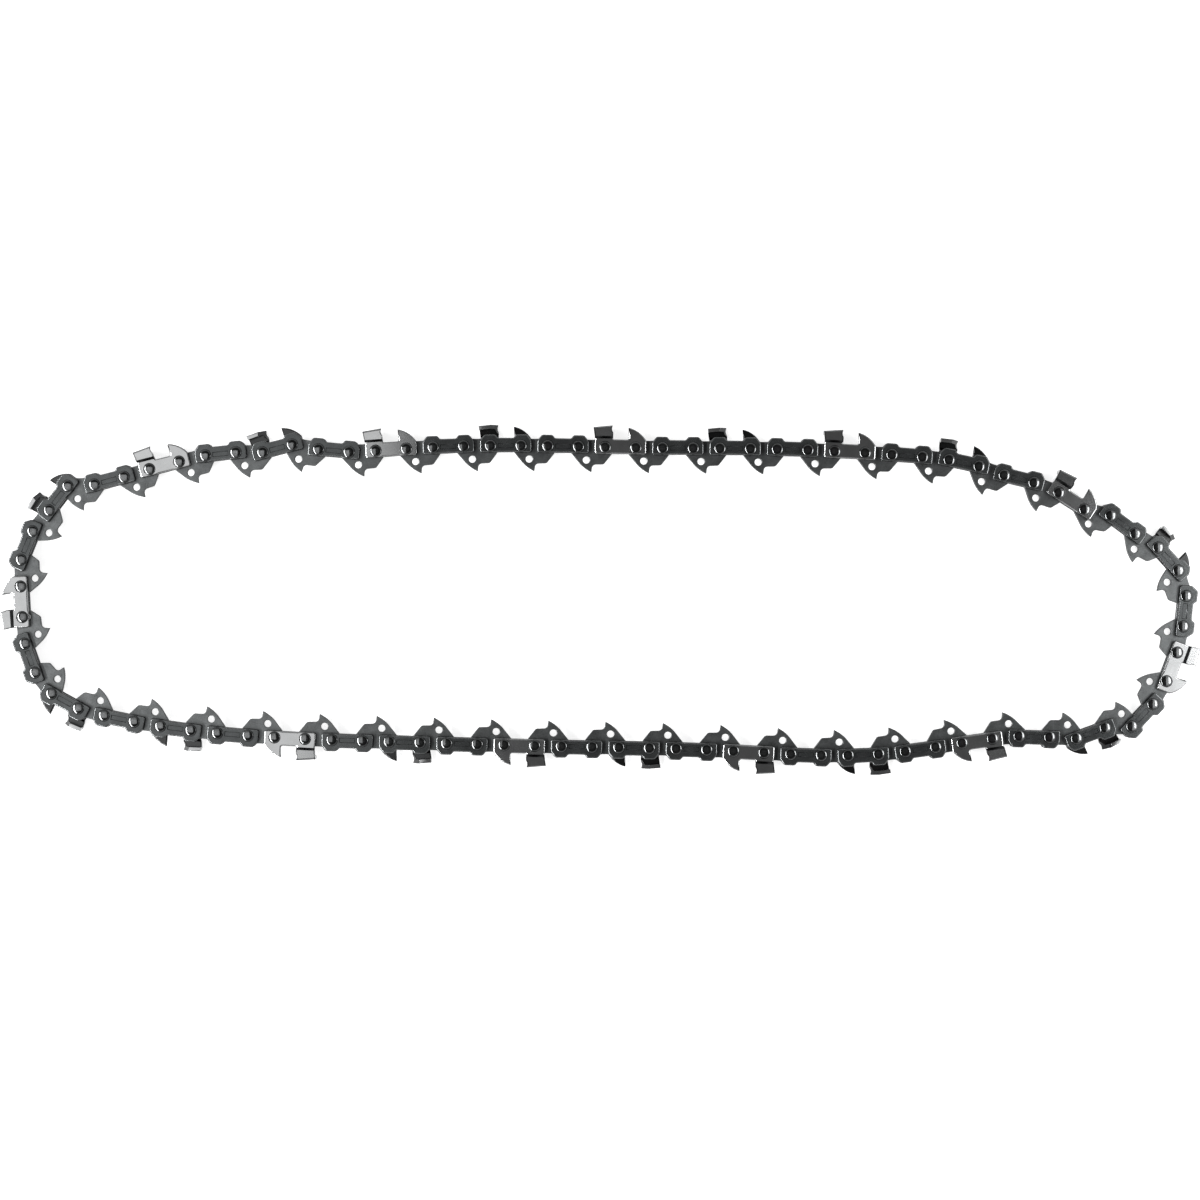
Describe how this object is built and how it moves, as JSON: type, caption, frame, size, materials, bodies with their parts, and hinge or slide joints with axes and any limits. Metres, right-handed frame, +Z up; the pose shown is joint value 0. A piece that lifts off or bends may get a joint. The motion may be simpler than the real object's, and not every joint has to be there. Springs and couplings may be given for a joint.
{
  "type": "chainsaw chain loop",
  "caption": "Closed loop of low-profile saw chain: drive links with hooked tangs, riveted tie straps, and left and right cutters with depth gauges, lying on its side.",
  "frame": {"origin": "middle of the loop's box, on the surface that the chain lies on", "axes": "+X along the loop and the way its cutters face on the +Y run, +Y across the loop, +Z up, along the rivets"},
  "size_m": [0.3896, 0.1144, 0.0063],
  "materials": {
    "link_steel": "blued and oiled",
    "cutter_steel": "hard-chromed over blued steel"
  },
  "bodies": {
    "cutter_right_01": {"cutter_right_01": "cutter_steel"},
    "tie_strap_02": {"tie_strap_02": "link_steel"},
    "cutter_left_03": {"cutter_left_03": "cutter_steel"},
    "tie_strap_04": {"tie_strap_04": "link_steel"},
    "cutter_right_05": {"cutter_right_05": "cutter_steel"},
    "tie_strap_06": {"tie_strap_06": "link_steel"},
    "cutter_left_07": {"cutter_left_07": "cutter_steel"},
    "tie_strap_08": {"tie_strap_08": "link_steel"},
    "cutter_right_09": {"cutter_right_09": "cutter_steel"},
    "tie_strap_10": {"tie_strap_10": "link_steel"},
    "cutter_left_11": {"cutter_left_11": "cutter_steel"},
    "tie_strap_12": {"tie_strap_12": "link_steel"},
    "cutter_right_13": {"cutter_right_13": "cutter_steel"},
    "tie_strap_14": {"tie_strap_14": "link_steel"},
    "cutter_left_15": {"cutter_left_15": "cutter_steel"},
    "tie_strap_16": {"tie_strap_16": "link_steel"},
    "cutter_right_17": {"cutter_right_17": "cutter_steel"},
    "tie_strap_18": {"tie_strap_18": "link_steel"},
    "cutter_left_19": {"cutter_left_19": "cutter_steel"},
    "tie_strap_20": {"tie_strap_20": "link_steel"},
    "cutter_right_21": {"cutter_right_21": "cutter_steel"},
    "tie_strap_22": {"tie_strap_22": "link_steel"},
    "cutter_left_23": {"cutter_left_23": "cutter_steel"},
    "tie_strap_24": {"tie_strap_24": "link_steel"},
    "cutter_right_25": {"cutter_right_25": "cutter_steel"},
    "tie_strap_26": {"tie_strap_26": "link_steel"},
    "cutter_left_27": {"cutter_left_27": "cutter_steel"},
    "tie_strap_28": {"tie_strap_28": "link_steel"},
    "cutter_right_29": {"cutter_right_29": "cutter_steel"},
    "tie_strap_30": {"tie_strap_30": "link_steel"},
    "cutter_left_31": {"cutter_left_31": "cutter_steel"},
    "tie_strap_32": {"tie_strap_32": "link_steel"},
    "cutter_right_33": {"cutter_right_33": "cutter_steel"},
    "tie_strap_34": {"tie_strap_34": "link_steel"},
    "cutter_left_35": {"cutter_left_35": "cutter_steel"},
    "tie_strap_36": {"tie_strap_36": "link_steel"},
    "cutter_right_37": {"cutter_right_37": "cutter_steel"},
    "tie_strap_38": {"tie_strap_38": "link_steel"},
    "cutter_left_39": {"cutter_left_39": "cutter_steel"},
    "tie_strap_40": {"tie_strap_40": "link_steel"},
    "cutter_right_41": {"cutter_right_41": "cutter_steel"},
    "tie_strap_42": {"tie_strap_42": "link_steel"},
    "cutter_left_43": {"cutter_left_43": "cutter_steel"},
    "tie_strap_44": {"tie_strap_44": "link_steel"},
    "cutter_left_45": {"cutter_left_45": "cutter_steel"},
    "tie_strap_46": {"tie_strap_46": "link_steel"}
  },
  "joints": [
    {"name": "hinge_02", "type": "hinge", "parent": "cutter_right_01", "child": "tie_strap_02", "pos_m": [-0.18811, 0.01309, 0.00315], "axis": [0, 0, 1], "range_deg": [-10, 10]},
    {"name": "hinge_03", "type": "hinge", "parent": "tie_strap_02", "child": "cutter_left_03", "pos_m": [-0.17901, 0.02915, 0.00315], "axis": [0, 0, 1], "range_deg": [-10.04, 10.04]},
    {"name": "hinge_04", "type": "hinge", "parent": "cutter_left_03", "child": "tie_strap_04", "pos_m": [-0.16428, 0.03746, 0.00315], "axis": [0, 0, 1], "range_deg": [-10, 10]},
    {"name": "hinge_05", "type": "hinge", "parent": "tie_strap_04", "child": "cutter_right_05", "pos_m": [-0.14634, 0.04251, 0.00315], "axis": [0, 0, 1], "range_deg": [-9.86, 9.86]},
    {"name": "hinge_06", "type": "hinge", "parent": "cutter_right_05", "child": "tie_strap_06", "pos_m": [-0.12823, 0.04693, 0.00315], "axis": [0, 0, 1], "range_deg": [-10, 10]},
    {"name": "hinge_07", "type": "hinge", "parent": "tie_strap_06", "child": "cutter_left_07", "pos_m": [-0.10965, 0.04796, 0.00315], "axis": [0, 0, 1], "range_deg": [-10.14, 10.14]},
    {"name": "hinge_08", "type": "hinge", "parent": "cutter_left_07", "child": "tie_strap_08", "pos_m": [-0.09147, 0.04893, 0.00315], "axis": [0, 0, 1], "range_deg": [-10, 10]},
    {"name": "hinge_09", "type": "hinge", "parent": "tie_strap_08", "child": "cutter_right_09", "pos_m": [-0.07288, 0.04848, 0.00315], "axis": [0, 0, 1], "range_deg": [-10.09, 10.09]},
    {"name": "hinge_10", "type": "hinge", "parent": "cutter_right_09", "child": "tie_strap_10", "pos_m": [-0.05427, 0.0496, 0.00315], "axis": [0, 0, 1], "range_deg": [-10, 10]},
    {"name": "hinge_11", "type": "hinge", "parent": "tie_strap_10", "child": "cutter_left_11", "pos_m": [-0.03564, 0.05012, 0.00315], "axis": [0, 0, 1], "range_deg": [-9.85, 9.85]},
    {"name": "hinge_12", "type": "hinge", "parent": "cutter_left_11", "child": "tie_strap_12", "pos_m": [-0.017, 0.05002, 0.00315], "axis": [0, 0, 1], "range_deg": [-10, 10]},
    {"name": "hinge_13", "type": "hinge", "parent": "tie_strap_12", "child": "cutter_right_13", "pos_m": [0.00164, 0.04964, 0.00315], "axis": [0, 0, 1], "range_deg": [-10.01, 10.01]},
    {"name": "hinge_14", "type": "hinge", "parent": "cutter_right_13", "child": "tie_strap_14", "pos_m": [0.02027, 0.04936, 0.00315], "axis": [0, 0, 1], "range_deg": [-10, 10]},
    {"name": "hinge_15", "type": "hinge", "parent": "tie_strap_14", "child": "cutter_left_15", "pos_m": [0.03891, 0.04923, 0.00315], "axis": [0, 0, 1], "range_deg": [-9.97, 9.97]},
    {"name": "hinge_16", "type": "hinge", "parent": "cutter_left_15", "child": "tie_strap_16", "pos_m": [0.05755, 0.04896, 0.00315], "axis": [0, 0, 1], "range_deg": [-10, 10]},
    {"name": "hinge_17", "type": "hinge", "parent": "tie_strap_16", "child": "cutter_right_17", "pos_m": [0.07618, 0.0483, 0.00315], "axis": [0, 0, 1], "range_deg": [-10.02, 10.02]},
    {"name": "hinge_18", "type": "hinge", "parent": "cutter_right_17", "child": "tie_strap_18", "pos_m": [0.09479, 0.0472, 0.00315], "axis": [0, 0, 1], "range_deg": [-10, 10]},
    {"name": "hinge_19", "type": "hinge", "parent": "tie_strap_18", "child": "cutter_left_19", "pos_m": [0.11335, 0.04554, 0.00315], "axis": [0, 0, 1], "range_deg": [-10.06, 10.06]},
    {"name": "hinge_20", "type": "hinge", "parent": "cutter_left_19", "child": "tie_strap_20", "pos_m": [0.13126, 0.0405, 0.00315], "axis": [0, 0, 1], "range_deg": [-10, 10]},
    {"name": "hinge_21", "type": "hinge", "parent": "tie_strap_20", "child": "cutter_right_21", "pos_m": [0.14899, 0.0349, 0.00315], "axis": [0, 0, 1], "range_deg": [-10.25, 10.25]},
    {"name": "hinge_22", "type": "hinge", "parent": "cutter_right_21", "child": "tie_strap_22", "pos_m": [0.1658, 0.0275, 0.00315], "axis": [0, 0, 1], "range_deg": [-10, 10]},
    {"name": "hinge_23", "type": "hinge", "parent": "tie_strap_22", "child": "cutter_left_23", "pos_m": [0.18122, 0.01707, 0.00315], "axis": [0, 0, 1], "range_deg": [-4.94, 4.94]},
    {"name": "hinge_24", "type": "hinge", "parent": "cutter_left_23", "child": "tie_strap_24", "pos_m": [0.19039, 0.00132, 0.00315], "axis": [0, 0, 1], "range_deg": [-4.93, 4.93]},
    {"name": "hinge_25", "type": "hinge", "parent": "tie_strap_24", "child": "cutter_right_25", "pos_m": [0.18741, -0.01704, 0.00315], "axis": [0, 0, 1], "range_deg": [-9.71, 9.71]},
    {"name": "hinge_26", "type": "hinge", "parent": "cutter_right_25", "child": "tie_strap_26", "pos_m": [0.17951, -0.03384, 0.00315], "axis": [0, 0, 1], "range_deg": [-9.67, 9.67]},
    {"name": "hinge_27", "type": "hinge", "parent": "tie_strap_26", "child": "cutter_left_27", "pos_m": [0.16402, -0.04152, 0.00315], "axis": [0, 0, 1], "range_deg": [-12.37, 12.37]},
    {"name": "hinge_28", "type": "hinge", "parent": "cutter_left_27", "child": "tie_strap_28", "pos_m": [0.14601, -0.04455, 0.00315], "axis": [0, 0, 1], "range_deg": [-12.52, 12.52]},
    {"name": "hinge_29", "type": "hinge", "parent": "tie_strap_28", "child": "cutter_right_29", "pos_m": [0.12742, -0.04503, 0.00315], "axis": [0, 0, 1], "range_deg": [-8.49, 8.49]},
    {"name": "hinge_30", "type": "hinge", "parent": "cutter_right_29", "child": "tie_strap_30", "pos_m": [0.10898, -0.04776, 0.00315], "axis": [0, 0, 1], "range_deg": [-8.36, 8.36]},
    {"name": "hinge_31", "type": "hinge", "parent": "tie_strap_30", "child": "cutter_left_31", "pos_m": [0.09048, -0.05003, 0.00315], "axis": [0, 0, 1], "range_deg": [-9.34, 9.34]},
    {"name": "hinge_32", "type": "hinge", "parent": "cutter_left_31", "child": "tie_strap_32", "pos_m": [0.07185, -0.05042, 0.00315], "axis": [0, 0, 1], "range_deg": [-9.26, 9.26]},
    {"name": "hinge_33", "type": "hinge", "parent": "tie_strap_32", "child": "cutter_right_33", "pos_m": [0.05323, -0.04959, 0.00315], "axis": [0, 0, 1], "range_deg": [-10.6, 10.6]},
    {"name": "hinge_34", "type": "hinge", "parent": "cutter_right_33", "child": "tie_strap_34", "pos_m": [0.03461, -0.04864, 0.00315], "axis": [0, 0, 1], "range_deg": [-10.75, 10.75]},
    {"name": "hinge_35", "type": "hinge", "parent": "tie_strap_34", "child": "cutter_left_35", "pos_m": [0.01598, -0.04808, 0.00315], "axis": [0, 0, 1], "range_deg": [-10.01, 10.01]},
    {"name": "hinge_36", "type": "hinge", "parent": "cutter_left_35", "child": "tie_strap_36", "pos_m": [-0.00265, -0.04772, 0.00315], "axis": [0, 0, 1], "range_deg": [-10, 10]},
    {"name": "hinge_37", "type": "hinge", "parent": "tie_strap_36", "child": "cutter_right_37", "pos_m": [-0.02129, -0.04735, 0.00315], "axis": [0, 0, 1], "range_deg": [-9.86, 9.86]},
    {"name": "hinge_38", "type": "hinge", "parent": "cutter_right_37", "child": "tie_strap_38", "pos_m": [-0.03992, -0.04687, 0.00315], "axis": [0, 0, 1], "range_deg": [-9.89, 9.89]},
    {"name": "hinge_39", "type": "hinge", "parent": "tie_strap_38", "child": "cutter_left_39", "pos_m": [-0.05856, -0.04634, 0.00315], "axis": [0, 0, 1], "range_deg": [-10.09, 10.09]},
    {"name": "hinge_40", "type": "hinge", "parent": "cutter_left_39", "child": "tie_strap_40", "pos_m": [-0.07719, -0.04578, 0.00315], "axis": [0, 0, 1], "range_deg": [-10.08, 10.08]},
    {"name": "hinge_41", "type": "hinge", "parent": "tie_strap_40", "child": "cutter_right_41", "pos_m": [-0.09582, -0.04511, 0.00315], "axis": [0, 0, 1], "range_deg": [-10.71, 10.71]},
    {"name": "hinge_42", "type": "hinge", "parent": "cutter_right_41", "child": "tie_strap_42", "pos_m": [-0.11443, -0.04405, 0.00315], "axis": [0, 0, 1], "range_deg": [-10.65, 10.65]},
    {"name": "hinge_43", "type": "hinge", "parent": "tie_strap_42", "child": "cutter_left_43", "pos_m": [-0.13298, -0.04231, 0.00315], "axis": [0, 0, 1], "range_deg": [-13.62, 13.62]},
    {"name": "hinge_44", "type": "hinge", "parent": "cutter_left_43", "child": "tie_strap_44", "pos_m": [-0.15141, -0.03954, 0.00315], "axis": [0, 0, 1], "range_deg": [-13.38, 13.38]},
    {"name": "hinge_45", "type": "hinge", "parent": "tie_strap_44", "child": "cutter_left_45", "pos_m": [-0.16954, -0.03523, 0.00315], "axis": [0, 0, 1], "range_deg": [-9.19, 9.19]},
    {"name": "hinge_46", "type": "hinge", "parent": "cutter_left_45", "child": "tie_strap_46", "pos_m": [-0.1836, -0.02358, 0.00315], "axis": [0, 0, 1], "range_deg": [-4.87, 4.87]}
  ],
  "couplings": [
    {"joint": "hinge_03", "follows": "hinge_02", "ratio": -1.004},
    {"joint": "hinge_25", "follows": "hinge_02", "ratio": 0.97091},
    {"joint": "hinge_26", "follows": "hinge_02", "ratio": -0.96693},
    {"joint": "hinge_05", "follows": "hinge_04", "ratio": -0.9852},
    {"joint": "hinge_27", "follows": "hinge_04", "ratio": 1.2363},
    {"joint": "hinge_28", "follows": "hinge_04", "ratio": -1.2511},
    {"joint": "hinge_07", "follows": "hinge_06", "ratio": -1.0134},
    {"joint": "hinge_29", "follows": "hinge_06", "ratio": 0.8486},
    {"joint": "hinge_30", "follows": "hinge_06", "ratio": -0.83516},
    {"joint": "hinge_09", "follows": "hinge_08", "ratio": -1.0083},
    {"joint": "hinge_31", "follows": "hinge_08", "ratio": 0.93366},
    {"joint": "hinge_32", "follows": "hinge_08", "ratio": -0.9254},
    {"joint": "hinge_11", "follows": "hinge_10", "ratio": -0.98453},
    {"joint": "hinge_33", "follows": "hinge_10", "ratio": 1.0592},
    {"joint": "hinge_34", "follows": "hinge_10", "ratio": -1.0747},
    {"joint": "hinge_13", "follows": "hinge_12", "ratio": -1.0002},
    {"joint": "hinge_35", "follows": "hinge_12", "ratio": 1},
    {"joint": "hinge_36", "follows": "hinge_12", "ratio": -0.99985},
    {"joint": "hinge_15", "follows": "hinge_14", "ratio": -0.99649},
    {"joint": "hinge_37", "follows": "hinge_14", "ratio": 0.98546},
    {"joint": "hinge_38", "follows": "hinge_14", "ratio": -0.98897},
    {"joint": "hinge_17", "follows": "hinge_16", "ratio": -1.0011},
    {"joint": "hinge_39", "follows": "hinge_16", "ratio": 1.0085},
    {"joint": "hinge_40", "follows": "hinge_16", "ratio": -1.0074},
    {"joint": "hinge_19", "follows": "hinge_18", "ratio": -1.006},
    {"joint": "hinge_41", "follows": "hinge_18", "ratio": 1.0709},
    {"joint": "hinge_42", "follows": "hinge_18", "ratio": -1.0649},
    {"joint": "hinge_21", "follows": "hinge_20", "ratio": -1.0245},
    {"joint": "hinge_43", "follows": "hinge_20", "ratio": 1.3619},
    {"joint": "hinge_44", "follows": "hinge_20", "ratio": -1.3374},
    {"joint": "hinge_23", "follows": "hinge_22", "ratio": -0.49314},
    {"joint": "hinge_45", "follows": "hinge_22", "ratio": 0.91873},
    {"joint": "hinge_46", "follows": "hinge_22", "ratio": -0.4863},
    {"joint": "hinge_24", "follows": "hinge_22", "ratio": -0.49255}
  ]
}
